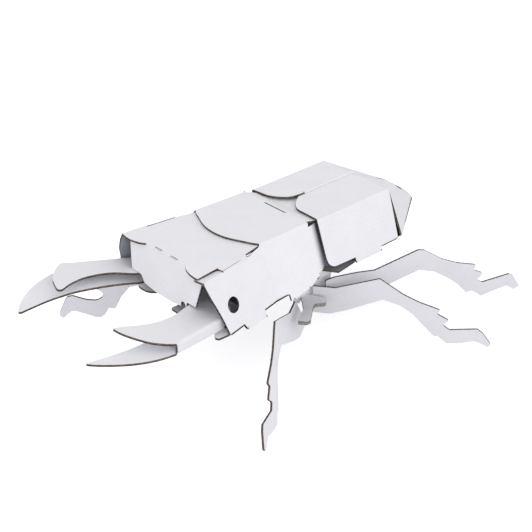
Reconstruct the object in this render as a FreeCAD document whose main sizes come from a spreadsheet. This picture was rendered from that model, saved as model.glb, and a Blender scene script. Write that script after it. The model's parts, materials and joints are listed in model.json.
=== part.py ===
import FreeCAD, Part
import math
import os
from FreeCAD import Vector, Placement, Rotation, Matrix

# Folded corrugated-card stag beetle, standing on six card legs. Millimetres.
# Axes: -Y is the head end, +X the beetle's left side, +Z up.
# Origin: on the ground, midway along and across the standing envelope.
# Points in the tables are in the layout frame: z runs down from the top of the
# thorax (0) to the ground (-stand), and y = 0 is the rear fold of the thorax roof.
# Paired pieces are drawn on the left (+X) and mirrored for the right.

doc = FreeCAD.newDocument("card_stag_beetle")
sheet = doc.addObject("Spreadsheet::Sheet", "Params")
CELLS = [
    ("card", 1.50),          # thickness of the single-wall micro-flute board
    ("stand", 95.2),         # top of the thorax above the ground
    ("yshift", 7.77),        # moves the envelope's middle onto the origin
    ("lean_wing", 0.30),     # outward lean of the wing-case sides, per mm of depth
    ("half_thorax", 32.48),  # half width of the thorax roof at its rear fold
    ("half_wing", 33.18),    # half width of the wing-case roof at its front
    ("eye_radius", 5.4),     # eye hole in each cheek
    ("pin_radius", 1.9),     # rolled-paper pivot pin of a mandible
    ("pin_bore", 1.97),      # radius of the punched hole the pin turns in
    ("pin_length", 12.5),
    ("floor_top", -38.71),   # upper face of the head floor
    ("flap", 8.4),           # depth of the flaps folded in below the cheeks
    ("hub_half", 24.5),      # half width of the leg hub
    ("hub_front", 2.1),
    ("hub_rear", 33.6),
    ("hub_top", -53.83),
    ("hub_low", -67.9),
    ("belly_top", -52.22),   # upper face of the belly plate
]
for row, (alias, value) in enumerate(CELLS, start=1):
    sheet.set("A%d" % row, alias)
    sheet.set("B%d" % row, str(value))
    sheet.setAlias("B%d" % row, alias)
doc.recompute()
DIM = {alias: float(sheet.get(alias)) for alias, _ in CELLS}
CARD = DIM["card"]
SLOT_WIDTH = 0.63            # width of the straight tab slots
SIDES = ((1, "left"), (-1, "right"))
UP = Vector(0, 0, 1)
PIECES = []                  # every object that is exported


# ------------------------------------------------------------------ helpers
def place(x, y, z):
    """Point of the layout frame -> point of the document."""
    return Vector(x, y + DIM["yshift"], z + DIM["stand"])


def shift_outline(points):
    """Plan outline (x, y) of the layout frame -> the document's x, y."""
    return [(x, y + DIM["yshift"]) for x, y in points]


def at_height(points, z):
    return [(x, y, z) for x, y in points]


def mirrored(points):
    """Points mirrored left to right and reversed; works for (x, y) and (x, y, z)."""
    return [(-p[0],) + tuple(p[1:]) for p in reversed(points)]


def on_side(side, points):
    return points if side > 0 else mirrored(points)


def curve(points, pieces=2):
    """Catmull-Rom line through the points, cut into straight pieces per span."""
    ends = [points[0]] + list(points) + [points[-1]]
    line = []
    for i in range(1, len(ends) - 2):
        for k in range(pieces):
            t = k / float(pieces)
            line.append(tuple(
                0.5 * (2 * b + (c - a) * t + (2 * a - 5 * b + 4 * c - d) * t * t
                       + (3 * b - a - 3 * c + d) * t ** 3)
                for a, b, c, d in zip(*ends[i - 1:i + 3])))
    return line + [tuple(points[-1])]


def slab(points, inward, thick=CARD):
    """Flat card panel: the points outline its outer face, flattened onto their
    mean plane; the body lies on the side that the vector inward points to."""
    corners = [place(*p) for p in points]
    centre = Vector(0, 0, 0)
    for corner in corners:
        centre = centre + corner
    centre = centre * (1.0 / len(corners))
    normal = Vector(0, 0, 0)
    for a, b in zip(corners, corners[1:] + corners[:1]):
        normal = normal + (a - centre).cross(b - centre)
    normal.normalize()
    if normal.dot(Vector(*inward)) < 0:
        normal = normal * -1.0
    flat = [p - normal * ((p - centre).dot(normal)) for p in corners]
    return Part.Face(Part.makePolygon(flat + flat[:1])).extrude(normal * thick)


def tidy(shape):
    """Merge coplanar faces and unwrap a compound that holds one solid."""
    shape = shape.removeSplitter()
    if shape.ShapeType == "Compound" and len(shape.Solids) == 1:
        shape = shape.Solids[0]
    return shape


def fuse(shapes):
    return tidy(shapes[0].multiFuse(shapes[1:]))


def add_feature(name, shape):
    """Folded piece: a plain shape already in document coordinates."""
    piece = doc.addObject("Part::Feature", name)
    piece.Label = name
    piece.Shape = shape
    piece.Placement = Placement()
    PIECES.append(piece)


def add_plate(name, outline, placement, symmetric=False):
    """Die-cut flat piece: a body with one sketch in its own XY plane and one pad
    whose length is bound to the card thickness."""
    body = doc.addObject("PartDesign::Body", name)
    body.Label = name
    sketch = body.newObject("Sketcher::SketchObject", name + "_outline")
    base = [f for f in body.Origin.OriginFeatures if f.Role == "XY_Plane"][0]
    sketch.AttachmentSupport = [(base, "")]
    sketch.MapMode = "FlatFace"
    for a, b in zip(outline, outline[1:] + outline[:1]):
        sketch.addGeometry(Part.LineSegment(Vector(a[0], a[1], 0), Vector(b[0], b[1], 0)), False)
    doc.recompute()
    pad = body.newObject("PartDesign::Pad", name + "_pad")
    pad.Profile = sketch
    pad.setExpression("Length", "Params.card")
    if symmetric:
        pad.SideType = "Symmetric"
    body.Placement = placement
    doc.recompute()
    PIECES.append(body)


# ------------------------------------------------------------------ thorax
# One sheet: roof with a bowed front edge, two sides leaning outward, flared
# cheeks beyond a slanting crease, bottom flaps and neck flaps.
CHEEK_SLOPE_Y, CHEEK_SLOPE_Z = 0.212, 0.381   # how the cheek plane widens in -y and -z


def cheek(y, z):
    """Point on the outer face of the left cheek."""
    return (23.471 - CHEEK_SLOPE_Y * y - CHEEK_SLOPE_Z * z, y, z)


# left half of the roof's front edge, (x, y, z) from the side to the middle
ROOF_FRONT = [(32.97, -44.8, 0.7), (28.7, -47.6, 0.742), (23.1, -50.05, 0.77),
              (15.4, -53.55, 0.819), (8.4, -55.72, 0.84)]
ROOF_FRONT_MIDDLE = (0, -56.56, 0.84)
CREASE_FOOT = (46.83, -40.32, -38.36)         # lower end of the side-cheek crease
SIDE_FLAP_EDGE = [(48.72, -26.46, -43.4), (47.81, -11.2, -41.02)]
THORAX_SIDE = [(DIM["half_thorax"], 0, 0), (32.97, -44.8, 0.42), CREASE_FOOT,
               (46.9, -29.75, -38.43), (48.65, -29.47, -43.12)] + SIDE_FLAP_EDGE + [
               (45.78, 0.0, -35.42)]
CHEEK = [(32.97, -44.8, 0.0), cheek(-102.9, -2.1), cheek(-99.96, -11.97),
         cheek(-95.2, -24.15), cheek(-91.7, -38.29), cheek(-77.14, -38.29),
         cheek(-75.04, -42.49), cheek(-55.3, -43.12), cheek(-54.95, -38.64), CREASE_FOOT]
FLANGE_Z = -2.52                              # top flange that the head cover rests on
FLANGE = [cheek(-102.9, FLANGE_Z), (35.7, -102.55, FLANGE_Z), (31.15, -64.4, FLANGE_Z),
          cheek(-64.4, FLANGE_Z)]
SIDE_FLAP = SIDE_FLAP_EDGE + [(39.55, -12.95, -41.72), (40.25, -25.2, -43.68)]
CHEEK_FLAP = [cheek(-75.04, -42.49), cheek(-55.3, -43.12),
              (cheek(-55.3, -43.12)[0] - DIM["flap"], -57.4, -43.26),
              (cheek(-74.9, -42.49)[0] - DIM["flap"], -73.15, -42.63)]
SIDE_NECK_FLAP = [(DIM["half_thorax"], 0, -0.7), (45.64, 0.0, -35.0),
                  (40.18, 6.3, -33.25), (28.42, 6.3, -4.55)]
NECK_FOLD = (28.84, 10.08, -3.43)             # left end of the roof flap's second fold
COVER_TAB_SLOT = at_height([(31.5, -84.21), (44.8, -84.21), (42.0, -62.86), (30.1, -62.86)],
                           -0.679)
EYE_Y, EYE_Z = -82.6, -22.75
EYE_DRILL = 12.0                              # length of the eye cutter


def cheek_panel(side):
    """Cheek with its eye hole, bored square to the panel."""
    across = Vector(side, CHEEK_SLOPE_Y, CHEEK_SLOPE_Z)
    across.normalize()
    eye = place(side * cheek(EYE_Y, EYE_Z)[0], EYE_Y, EYE_Z)
    drill = Part.makeCylinder(DIM["eye_radius"], EYE_DRILL, eye - across * (EYE_DRILL / 2), across)
    return slab(on_side(side, CHEEK), (-side, 0, -0.3)).cut(drill)


def make_thorax():
    half = DIM["half_thorax"]
    front = curve(ROOF_FRONT + [ROOF_FRONT_MIDDLE] + mirrored(ROOF_FRONT))
    panels = [slab([(-half, 0, 0), (half, 0, 0)] + front, (0, 0, -1))]
    for side, _ in SIDES:
        panels += [
            slab(on_side(side, THORAX_SIDE), (-side, 0, -0.3)),
            cheek_panel(side),
            slab(on_side(side, FLANGE), (0, 0, -1)),
            slab(on_side(side, SIDE_FLAP), (0, 0, 1)),
            slab(on_side(side, CHEEK_FLAP), (0, 0, 1)),
            slab(on_side(side, SIDE_NECK_FLAP), (-side, -0.6, -0.2)),
        ]
    # neck flap of the roof, bent twice to run on under the wing cases
    fold = mirrored([NECK_FOLD]) + [NECK_FOLD]
    panels.append(slab([(-31.92, 0, 0), (31.92, 0, 0)] + fold[::-1], (0, -0.6, -1)))
    panels.append(slab(fold + [(26.6, 27.3, -3.92), (-26.6, 27.3, -3.92)], (0, 0, -1)))
    thorax = fuse(panels)
    # tab slot on the rear fold of the roof
    thorax = thorax.cut(Part.makeBox(21.42, SLOT_WIDTH, 4.2, place(-9.66, -0.245, -3.22)))
    # slots along both cheek folds that take the side tabs of the head cover
    for side, _ in SIDES:
        thorax = thorax.cut(slab(on_side(side, COVER_TAB_SLOT), (0, 0, -1), thick=CARD + 0.22))
    thorax = thorax.removeSplitter()
    if thorax.ShapeType == "Compound":
        # drop any loose sliver left by the slots
        thorax = max(thorax.Solids, key=lambda solid: solid.Volume)
    add_feature("thorax_shell", thorax)


# ------------------------------------------------------------------ head cover
# Roof and face folded from one sheet, with tabs over the cheek folds.
COVER_Z = -0.805
FACE_FOLD_Y = -97.02
FACE_LEAN = 0.157
# left half of the cover roof, (x, y): curved front corner, then side and rear
COVER_CORNER = [(19.95, FACE_FOLD_Y), (22.75, -98.84), (26.6, -100.73), (31.85, -101.92),
                (38.01, -102.13)]
COVER_EDGE = [(35.7, -83.72), (40.46, -83.72), (38.08, -65.1), (32.2, -63.35), (30.24, -46.2)]
# face outline, (x, z)
FACE = [(19.95, -0.7), (-19.95, -0.7), (-28.7, -3.15), (-37.45, -6.3), (-33.6, -24.22),
        (-23.45, -24.5), (-18.9, -29.12), (-8.4, -30.52), (8.4, -30.52), (19.18, -29.33),
        (19.18, -26.18), (23.52, -25.9), (23.52, -28.28), (25.06, -27.79), (25.34, -24.64),
        (33.6, -24.36), (37.45, -6.3), (28.7, -3.15)]
FACE_SLOTS = [(-12.53, -5.04), (3.78, 11.13)]   # x from, x to


def make_head_cover():
    corner = curve(COVER_CORNER)
    roof = mirrored(corner) + corner + COVER_EDGE + mirrored(COVER_EDGE)
    face = [(x, FACE_FOLD_Y + FACE_LEAN * z, z) for x, z in FACE]
    cover = fuse([slab(at_height(roof, COVER_Z), (0, 0, -1)), slab(face, (0, 1, 0))])
    # narrow tab slots just behind the front fold
    for x_from, x_to in FACE_SLOTS:
        slot = Part.makeBox(x_to - x_from, SLOT_WIDTH, 2.8, place(x_from, -96.74, -2.94))
        cover = cover.cut(slot)
    add_feature("head_cover", cover)


# ------------------------------------------------------------------ mandibles
# Each mandible is one folded channel: upper blade, upright web, lower blade bent
# twice. Every panel has upright sides, so neighbours meet on shared planes.
# All outlines are (x, y) in plan.
ROOT_CREASE_Y, TIP_CREASE_Y = -91.0, -138.11    # the two bends of the lower blade
FOLD = [(49.7, ROOT_CREASE_Y), (51.31, -97.02), (52.92, -103.6), (54.81, -110.81),
        (56.98, -119.07), (58.8, -126.07), (60.62, -132.93), (61.81, TIP_CREASE_Y)]
ROOT = [(26.74, ROOT_CREASE_Y), (27.3, -86.8), (29.4, -82.6), (33.6, -78.4), (42.0, -78.4),
        (46.55, -83.3), (49.7, ROOT_CREASE_Y)]
# the right-hand sheet has its own blade edges
BLADES = {
    "left": {
        "upper_outer": [(61.81, TIP_CREASE_Y), (59.5, -142.94), (55.72, -148.4),
                        (51.66, -152.46), (44.1, -157.29), (36.54, -160.72), (29.54, -161.98)],
        "upper_inner": [(29.54, -161.98), (31.01, -154.7), (33.53, -146.72), (35.21, -137.2),
                        (35.28, -130.13), (34.3, -121.8), (31.71, -112.77), (28.56, -105.0),
                        (26.74, -98.7)],
        "tip_outer": [(61.81, TIP_CREASE_Y), (61.32, -144.9), (59.64, -153.3), (56.7, -161.7),
                      (52.22, -170.45), (46.27, -179.27), (41.58, -184.94), (37.66, -188.16)],
        "tip_inner": [(37.66, -188.16), (38.92, -179.9), (40.46, -168.7), (41.44, -156.8),
                      (41.02, -146.3), (38.92, TIP_CREASE_Y)],
        "middle_inner": [(38.92, TIP_CREASE_Y), (36.4, -126.0), (33.25, -112.35),
                         (29.61, -101.5), (26.95, -94.5), (26.74, ROOT_CREASE_Y)],
    },
    "right": {
        "upper_outer": [(61.81, TIP_CREASE_Y), (59.5, -142.45), (53.27, -149.66),
                        (44.8, -156.38), (40.32, -158.69), (32.27, -161.63), (29.68, -161.07)],
        "upper_inner": [(29.68, -161.07), (29.82, -158.9), (32.97, -152.46), (36.19, -142.87),
                        (37.38, -134.4), (36.75, -124.25), (34.65, -115.92), (30.66, -108.92),
                        (27.02, -102.9), (26.74, -98.7)],
        "tip_outer": [(61.81, TIP_CREASE_Y), (62.3, -145.53), (59.08, -158.06),
                      (53.06, -170.17), (44.73, -180.88), (39.9, -185.43), (36.05, -188.09),
                      (34.65, -187.04)],
        "tip_inner": [(34.65, -187.04), (35.49, -176.96), (36.19, -167.37), (35.98, -158.27),
                      (35.0, -147.77), (32.69, TIP_CREASE_Y)],
        "middle_inner": [(32.69, TIP_CREASE_Y), (31.92, -126.91), (30.59, -116.06),
                         (28.42, -105.84), (26.88, -100.1), (26.74, ROOT_CREASE_Y)],
    },
}
PIN_X, PIN_Y = 37.8, -83.3
BOSS_RADIUS, BOSS_HEIGHT, BOSS_FOOT_Z = 5.2, 7.0, -36.89
# the right-hand channel sits rolled outward on its pin
ROLL = 0.10                  # radians
ROLL_AXIS_Z = -32.9
ROLL_SHIFT_X = 0.63
LIFT = 1.82
RISE = CARD * 1.015          # upright thickness of the sloping blades
WEB_RISE = 42.0              # tall enough to reach past the upper blade
FAR = 280.0                  # beyond every mandible point


def upper_z(x, y):
    return -41.65 - 0.065 * x - 0.178 * y


def root_z(x, y):
    return -35.756 - 0.0483 * x


def middle_z(x, y):
    return root_z(x, y) - 0.2058 * (y - ROOT_CREASE_Y)


def tip_z(x, y):
    return middle_z(x, TIP_CREASE_Y) - 0.0494 * (y - TIP_CREASE_Y)


def upright(points, level, rise):
    """Panel over the plan outline, lying on the sloping plane level, sides upright."""
    corners = [place(x, y, level(x, y)) for x, y in points]
    return Part.Face(Part.makePolygon(corners + corners[:1])).extrude(Vector(0, 0, rise))


def clamp_y(points, low, high):
    return [(x, max(min(y, high), low)) for x, y in points]


def inner_line(points, distance):
    """Line set in towards -x; its ends stay level in y with the end points."""
    normals = []
    for (x0, y0), (x1, y1) in zip(points[:-1], points[1:]):
        length = math.hypot(x1 - x0, y1 - y0)
        normals.append(((y1 - y0) / length, -(x1 - x0) / length))
    line = [(points[0][0] + distance / normals[0][0], points[0][1])]
    for (x, y), before, after in zip(points[1:-1], normals, normals[1:]):
        scale = distance / (1.0 + before[0] * after[0] + before[1] * after[1])
        line.append((x + scale * (before[0] + after[0]), y + scale * (before[1] + after[1])))
    line.append((points[-1][0] + distance / normals[-1][0], points[-1][1]))
    return line


def mandible_channel(edges):
    """The folded sheet, in left-hand position."""
    upper = upright(ROOT[:-1] + FOLD + curve(edges["upper_outer"])[1:]
                    + curve(edges["upper_inner"])[1:], upper_z, -RISE)
    tip = curve(edges["tip_outer"]) + curve(edges["tip_inner"])[1:]
    middle = FOLD + curve(edges["middle_inner"])
    lower = [upright(clamp_y(tip, -FAR, TIP_CREASE_Y), tip_z, RISE),
             upright(clamp_y(middle, TIP_CREASE_Y, ROOT_CREASE_Y), middle_z, RISE),
             upright(ROOT, root_z, RISE)]
    web = upright(FOLD + inner_line(FOLD, CARD)[::-1], middle_z, WEB_RISE)
    # trim the web to the top of the upper blade
    below_upper = upright([(0, -FAR), (140, -FAR), (140, 0), (0, 0)], upper_z, -56.0)
    return fuse([upper, web.common(below_upper)] + lower)


def make_mandible(side, hand):
    mandible = mandible_channel(BLADES[hand])
    foot_z = BOSS_FOOT_Z
    if side < 0:
        foot_z += LIFT
        mandible.rotate(place(PIN_X, 0.0, ROLL_AXIS_Z), Vector(0, 1, 0), -math.degrees(ROLL))
        mandible.translate(Vector(ROLL_SHIFT_X, 0, LIFT))
        mandible = mandible.mirror(Vector(0, 0, 0), Vector(1, 0, 0))
    foot = place(side * PIN_X, PIN_Y, foot_z)
    mandible = fuse([mandible, Part.makeCylinder(BOSS_RADIUS, BOSS_HEIGHT, foot, UP)])
    bore = Part.makeCylinder(DIM["pin_bore"], 40.0, foot - Vector(0, 0, 20), UP)
    add_feature("mandible_" + hand, mandible.cut(bore))


def make_pin(side, hand):
    """Pivot pin standing on the head floor."""
    pin = doc.addObject("Part::Cylinder", "mandible_pin_" + hand)
    pin.Label = "mandible_pin_" + hand
    pin.setExpression("Radius", "Params.pin_radius")
    pin.setExpression("Height", "Params.pin_length")
    pin.Placement = Placement(place(side * PIN_X, PIN_Y, DIM["floor_top"]), Rotation())
    PIECES.append(pin)


# ------------------------------------------------------------------ head floor
# Tray under the mandible roots with a tongue that shows below the face; (x, y).
RIGHT_LOBE = [(-53.48, -84.0), (-53.9, -89.6), (-40.6, -91.0), (-35.0, -95.2),
              (-32.55, -97.44), (-28.21, -98.0), (-23.52, -97.58), (-20.16, -95.9),
              (-18.69, -94.15), (-15.4, -89.6)]
TONGUE = [(5.32, -89.6), (5.32, -99.12), (13.72, -99.12), (13.72, -89.6)]
LEFT_LOBE = [(21.0, -89.6), (39.2, -91.0), (46.9, -96.04), (49.0, -98.56), (52.15, -100.52),
             (54.46, -99.4), (55.02, -91.7), (53.48, -84.0)]
FLOOR_REAR = [(47.25, -64.4), (-47.25, -64.4)]


def make_head_floor():
    outline = shift_outline(RIGHT_LOBE + TONGUE + LEFT_LOBE + FLOOR_REAR)
    low = DIM["floor_top"] + DIM["stand"] - CARD
    add_plate("head_floor", outline, Placement(Vector(0, 0, low), Rotation()))


# ------------------------------------------------------------------ wing cases
WING_TOP = -1.4
WING_FRONT, WING_REAR = 8.75, 81.62
LIP_FRONT, LIP_LOW = 31.92, -3.85        # turned-down lip on the right case
TAIL_SPLIT = 82.25                       # behind this the cases part on the middle line
TAIL_GAP = 0.2                           # half width of that parting
TAIL_RIDGE = (0.315, 117.46, -17.43)
TAIL_TIP = (0.315, 149.17, -41.58)
FLANK_TOP = (33.39, 81.9, -1.68)
FLANK_LOW = (43.82, 88.13, -35.42)
# Seam edge of each roof: x and z, where a negative x reaches across the middle.
SEAM = {"left": (-2.1, WING_TOP), "right": (2.52, -0.28)}
# front edge of each roof, (x, y) from the side to the seam
WING_FRONT_EDGE = {
    "left": [(DIM["half_wing"], WING_FRONT), (30.8, 10.5), (11.55, 11.06), (7.0, 14.0),
             (2.8, 17.92), (0.0, 21.7), (SEAM["left"][0], 23.8)],
    "right": [(DIM["half_wing"], WING_FRONT), (25.76, 9.24), (18.9, 9.52), (14.84, 10.92),
              (9.45, 14.42), (5.39, 17.5), (3.71, 21.0), (3.08, 26.6),
              (SEAM["right"][0], LIP_FRONT)],
}
# wing-case side wall, (y, z)
WING_SIDE = [(WING_FRONT, WING_TOP), (WING_REAR, WING_TOP), (82.74, -37.17), (80.71, -38.15),
             (64.68, -38.22), (63.98, -41.44), (38.08, -41.44), (37.66, -37.03),
             (19.81, -36.54), (15.4, -35.63), (11.76, -32.76), (10.22, -29.68)]


def wing_side(y, z):
    """Point on the outer face of the left side wall."""
    x = DIM["half_wing"] + 0.0055 * (y - WING_FRONT) - DIM["lean_wing"] * (z - WING_TOP)
    return (x, y, z)


def seam_box(width, x, y):
    return Part.makeBox(width, 400, 200, Vector(x, y, 0))


def make_wing_case(side, hand):
    seam_x, seam_z = SEAM[hand]
    # the right roof climbs from its side fold to the seam; the left one is level
    roof = [(x, y, WING_TOP + (seam_z - WING_TOP) * (33.25 - x) / (33.25 - seam_x))
            for x, y in WING_FRONT_EDGE[hand] + [(seam_x, WING_REAR), (33.6, WING_REAR)]]
    wall = [wing_side(y, z) for y, z in WING_SIDE]
    panels = [slab(on_side(side, roof), (0, 0, -1)),
              slab(on_side(side, wall), (-side, 0, -0.3))]
    if side < 0:
        lip = [(seam_x, LIP_FRONT, seam_z), (seam_x, WING_REAR, seam_z),
               (seam_x, WING_REAR, LIP_LOW), (seam_x, LIP_FRONT, LIP_LOW)]
        panels.append(slab(mirrored(lip), (-1, 0, 0)))
    bottom_flap = [wing_side(63.98, -41.44), wing_side(38.08, -41.44),
                   (37.45, 39.9, -41.58), (37.45, 62.3, -41.58)]
    panels.append(slab(on_side(side, bottom_flap), (0, 0, 1)))
    # roof facet and two flank facets of the pointed tail
    tail_roof = [(seam_x, WING_REAR, seam_z), (33.6, WING_REAR, WING_TOP), TAIL_RIDGE]
    panels.append(slab(on_side(side, tail_roof), (0, -0.3, -1)))
    for flank in ([FLANK_TOP, TAIL_RIDGE, TAIL_TIP], [FLANK_TOP, TAIL_TIP, FLANK_LOW]):
        panels.append(slab(on_side(side, flank), (-side, -0.7, -0.5)))
    case = fuse(panels)
    # trim what crosses the seam in front and the middle line at the tail
    tail_y = TAIL_SPLIT + DIM["yshift"]
    if side > 0:
        case = case.common(seam_box(200, seam_x, -200))
        case = case.cut(seam_box(40, -40 + TAIL_GAP, tail_y))
    else:
        front = case.common(seam_box(200, -200 - seam_x, -200))
        rear = case.common(seam_box(200, -200 - TAIL_GAP, tail_y))
        case = fuse([front, rear])
    add_feature("wing_case_" + hand, tidy(case))


# ------------------------------------------------------------------ abdomen
def make_belly():
    """Belly plate and two leaning strips, one sheet."""
    half, front, rear = 28.0, -2.1, 67.2
    low = DIM["belly_top"] - CARD
    strip_x, strip_front, strip_z = 36.05, 16.8, -45.22
    panels = [slab([(-half, front, low), (half, front, low), (half, rear, low),
                    (-half, rear, low)], (0, 0, 1))]
    for side, _ in SIDES:
        strip = [(half, strip_front, low), (half, rear, low),
                 (strip_x, rear, strip_z), (strip_x, strip_front, strip_z)]
        panels.append(slab(on_side(side, strip), (-side, 0, 0.9)))
    add_feature("belly_tray", fuse(panels))


# upright walls across the body: name, y of the rear face, left half outline (x, z)
CROSS_WALLS = [
    ("neck_wall", -5.6, [(26.6, -6.65), (35.0, -30.8), (32.2, -50.4)]),
    ("abdomen_front_wall", 21.0, [(28.7, -6.3), (37.1, -32.2), (36.05, -39.2), (25.2, -50.4)]),
    ("abdomen_rear_wall", 72.8, [(28.7, -4.55), (37.8, -33.6), (36.05, -39.2), (25.2, -50.4)]),
    ("head_rear_wall", -58.8, [(28.0, -2.94), (37.8, -30.8), (37.8, -37.8)]),
]


def make_cross_wall(name, y, half_outline):
    outline = [(x, z + DIM["stand"]) for x, z in half_outline + mirrored(half_outline)]
    add_plate(name, outline,
              Placement(Vector(0, y + DIM["yshift"], 0), Rotation(Vector(1, 0, 0), 90)))


# ------------------------------------------------------------------ leg hub
def hub_box(name, wall, corner):
    """Box of the hub's size, its length and width reduced by the wall expression."""
    box = doc.addObject("Part::Box", name)
    box.setExpression("Length", "2 * Params.hub_half" + wall)
    box.setExpression("Width", "Params.hub_rear - Params.hub_front" + wall)
    box.setExpression("Height", "Params.hub_top - Params.hub_low")
    box.Placement = Placement(corner, Rotation())
    return box


def make_hub():
    """Tray with an open top."""
    corner = place(-DIM["hub_half"], DIM["hub_front"], DIM["hub_low"])
    hub_outer = hub_box("hub_outer", "", corner)
    hub_inner = hub_box("hub_inner", " - 2 * Params.card", corner + Vector(CARD, CARD, CARD))
    hub = doc.addObject("Part::Cut", "leg_hub")
    hub.Label = "leg_hub"
    hub.Base = hub_outer
    hub.Tool = hub_inner
    PIECES.append(hub)


# Two stacked lock plates on each side, between the front and middle legs; (x, y).
LOCK_X = DIM["hub_half"] + 0.105         # just clear of the hub wall
LOCK_PLATE = [(LOCK_X, 3.15), (LOCK_X, 8.75), (31.85, 12.6), (36.4, 14.42), (39.2, 13.72),
              (42.0, 10.5), (37.8, 4.2), (38.85, 1.05), (50.75, -13.3), (50.4, -16.8),
              (45.15, -20.65), (37.1, -6.65), (30.1, -1.05)]
LOCK_TOP = -64.4
LOCK_GAP = 0.07


def make_lock_plates(side, hand):
    outline = shift_outline(on_side(side, LOCK_PLATE))
    for level, top in (("upper", LOCK_TOP), ("lower", LOCK_TOP - CARD - LOCK_GAP)):
        low = Vector(0, 0, top + DIM["stand"] - CARD)
        add_plate("lock_plate_%s_%s" % (level, hand), outline, Placement(low, Rotation()))


# ------------------------------------------------------------------ legs
# Leg profiles, (outward, up) from the tip of the foot: upper edge from the hub
# end to the foot, then the lower edge back.
LEG_MIDDLE = [
    (-129.15, 34.93), (-112.98, 34.93), (-81.83, 45.85), (-64.4, 34.65), (-53.62, 29.68),
    (-37.66, 24.64), (-39.97, 21.28), (-30.8, 16.66), (-35.14, 12.39), (-30.17, 8.89),
    (-10.57, 11.69), (-6.65, 8.75), (0.0, 0.0), (-1.89, -2.45), (-11.62, 1.47),
    (-20.86, -1.19), (-31.29, -2.45), (-38.01, 2.52), (-40.67, 2.24), (-45.78, 7.28),
    (-57.19, 19.32), (-65.94, 25.13), (-78.82, 28.98), (-102.76, 17.85), (-116.62, 12.88),
    (-129.15, 13.09)]
LEG_REAR = [
    (-163.8, 37.1), (-157.5, 38.5), (-139.79, 38.92), (-125.09, 38.15), (-90.58, 48.79),
    (-85.68, 47.6), (-70.28, 37.31), (-57.33, 31.36), (-40.53, 26.53), (-42.63, 22.33),
    (-33.95, 18.06), (-38.43, 12.74), (-33.6, 9.73), (-10.78, 12.67), (-6.58, 10.01),
    (0.0, 0.0), (-5.11, -2.03), (-12.18, 2.45), (-23.59, 0.07), (-33.6, -2.24),
    (-41.93, 3.85), (-47.6, 3.71), (-55.51, 12.53), (-63.7, 19.39), (-76.72, 27.79),
    (-89.25, 31.5), (-112.91, 24.15), (-140.0, 16.8), (-163.8, 16.8)]
# the middle leg's profile with a longer hub end
LEG_FRONT_LEFT = [(-129.85, 34.93)] + LEG_MIDDLE[1:-1] + [(-137.9, 13.09)]
LEG_FRONT_RIGHT = [
    (-150.15, 40.6), (-112.98, 34.93), (-81.83, 45.85), (-64.4, 34.65), (-49.0, 29.4),
    (-26.6, 23.8), (-31.15, 21.0), (-34.51, 18.83), (-35.7, 16.94), (-34.79, 13.86),
    (-31.71, 11.55), (-29.33, 11.06), (-22.68, 11.62), (-13.02, 14.77), (-9.38, 13.58),
    (-7.56, 10.15), (-3.64, -1.12), (-3.64, -3.36), (-6.3, -5.88), (-9.73, -2.1),
    (-12.81, 0.98), (-15.26, 1.05), (-22.54, -1.4), (-30.52, -4.13), (-34.23, -3.85),
    (-37.24, -1.4), (-39.97, 4.83), (-43.96, 3.78), (-45.78, 6.51), (-48.79, 14.98),
    (-54.74, 23.87), (-65.94, 26.95), (-78.82, 28.98), (-102.76, 17.85), (-116.62, 12.88),
    (-150.15, 15.4)]
# middle and rear legs: name, profile, tip of the left foot, rearward angle from +X
PAIRED_LEGS = [("middle", LEG_MIDDLE, (130.13, 90.3, -92.75), 37.0),
               ("rear", LEG_REAR, (94.85, 172.41, -92.96), 66.7)]


def add_leg(name, profile, tip, outward, upward):
    """Flat leg whose profile axes are outward and upward, centred on its plane."""
    x = Vector(*outward)
    x.normalize()
    y = Vector(*upward)
    y = y - x * x.dot(y)
    y.normalize()
    z = x.cross(y)
    origin = place(*tip)
    frame = Matrix(x.x, y.x, z.x, origin.x,
                   x.y, y.y, z.y, origin.y,
                   x.z, y.z, z.z, origin.z,
                   0, 0, 0, 1)
    add_plate(name, profile, Placement(frame), symmetric=True)


def make_legs():
    add_leg("leg_front_left", LEG_FRONT_LEFT, tip=(106.89, -109.62, -91.21),
            outward=(0.545, -0.837, 0.045), upward=(-0.286, -0.101, 0.953))
    add_leg("leg_front_right", LEG_FRONT_RIGHT, tip=(-112.91, -117.74, -88.62),
            outward=(-0.612, -0.787, 0.078), upward=(0.08, -0.02, 0.99))
    for name, profile, (x, y, z), degrees in PAIRED_LEGS:
        angle = math.radians(degrees)
        for side, hand in SIDES:
            add_leg("leg_%s_%s" % (name, hand), profile, tip=(side * x, y, z),
                    outward=(side * math.cos(angle), math.sin(angle), 0), upward=(0, 0, 1))


# ------------------------------------------------------------------ build
make_thorax()
make_head_cover()
make_head_floor()
for side, hand in SIDES:
    make_mandible(side, hand)
    make_pin(side, hand)
    make_wing_case(side, hand)
    make_lock_plates(side, hand)
make_belly()
for wall in CROSS_WALLS:
    make_cross_wall(*wall)
make_hub()
make_legs()

# ------------------------------------------------------------------ write
doc.recompute()
for item in doc.Objects:
    states = [str(state) for state in item.State]
    if "Invalid" in states or "Error" in states:
        raise RuntimeError("failed feature: %s %s" % (item.Name, states))
os.makedirs("parts", exist_ok=True)
for piece in PIECES:
    if piece.Shape.isNull() or not piece.Shape.isValid():
        raise RuntimeError("bad shape: " + piece.Label)
    piece.Shape.exportStep("parts/%s.step" % piece.Label)
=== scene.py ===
"""A stag beetle folded from white-lined micro-flute board.

+X is the beetle's left, -Y its head and +Z up. Outlines are drawn in steps of a 0.70 mm
grid, counted from the middle of the fold along the rear edge of the thorax roof.
Each sheet is built from its panels: folds are rounded, and cut edges are opened between
the two liners to show a sine-wave fluted core.
"""
import json
import math

import bmesh
import bpy
from mathutils import Matrix, Vector

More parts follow.
